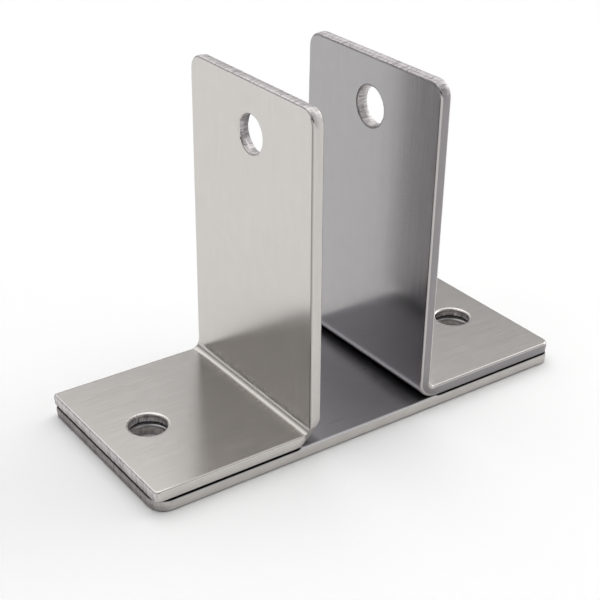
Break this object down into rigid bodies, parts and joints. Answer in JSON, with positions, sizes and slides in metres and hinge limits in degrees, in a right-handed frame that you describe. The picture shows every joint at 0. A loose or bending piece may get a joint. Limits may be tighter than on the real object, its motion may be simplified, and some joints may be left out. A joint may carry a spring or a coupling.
{
  "type": "wall bracket",
  "caption": "Two-ear wall bracket in brushed stainless steel: bent angles on a flat backing plate hold a panel between them, with punched holes in ears and feet.",
  "frame": {"origin": "middle of the backing plate's underside, which lies against the wall", "axes": "+X along the plate from one foot to the other, +Y across the strip, +Z away from the wall"},
  "size_m": [0.12, 0.05, 0.085],
  "materials": {
    "plate_steel": "brushed along its length, edges tumbled round, ends sheared",
    "ear_steel": "brushed along the strip, satin, edges tumbled round"
  },
  "bodies": {
    "root": {"base_plate": "plate_steel", "left_ear": "ear_steel", "right_ear": "ear_steel"}
  },
  "joints": []
}
